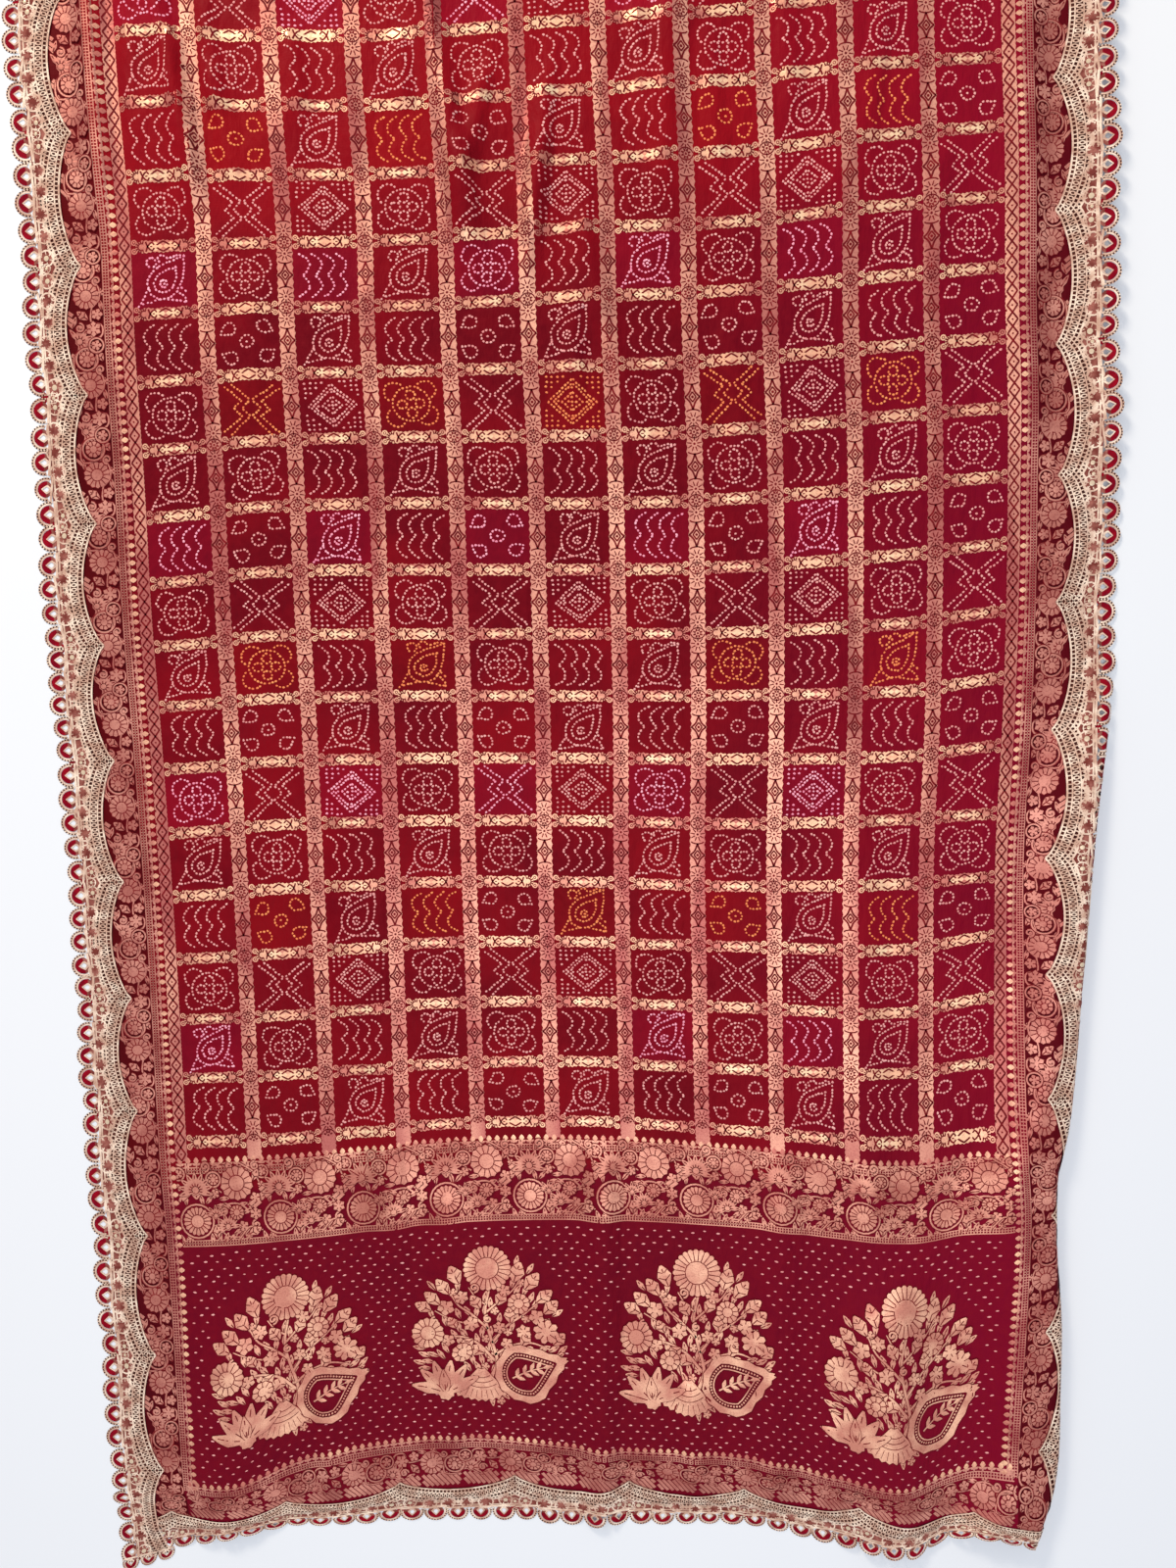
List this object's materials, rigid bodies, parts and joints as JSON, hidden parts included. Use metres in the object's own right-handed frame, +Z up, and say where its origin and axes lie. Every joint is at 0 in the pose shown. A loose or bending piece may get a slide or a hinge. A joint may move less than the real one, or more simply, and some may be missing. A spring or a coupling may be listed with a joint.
{
  "type": "bandhani dupatta cloth",
  "caption": "Long red tie-dyed silk cloth laid flat, with a woven gold grid, flowered borders, a worked end panel and scalloped lace tape sewn round its edges.",
  "frame": {"origin": "on the surface it lies on, under the middle of its outline box", "axes": "+Y along the cloth, away from the end with the worked panel; +X across it; +Z up from the surface"},
  "size_m": [1.0548, 2.2699, 0.0199],
  "materials": {
    "dyed_silk": "crimson and maroon dyed silk, soft low sheen",
    "zari_thread": "rose-gold metal-wrapped weft, satin highlight",
    "tied_dots": "pale pink resist-dyed dots, matte",
    "lace_thread": "cream and pale gold corded lace, matte with glints",
    "sequins": "small pearly sequins"
  },
  "bodies": {
    "root": {"cloth": "dyed_silk", "lace_left": "lace_thread", "lace_right": "lace_thread", "lace_near_end": "lace_thread", "lace_far_end": "lace_thread"}
  },
  "joints": []
}
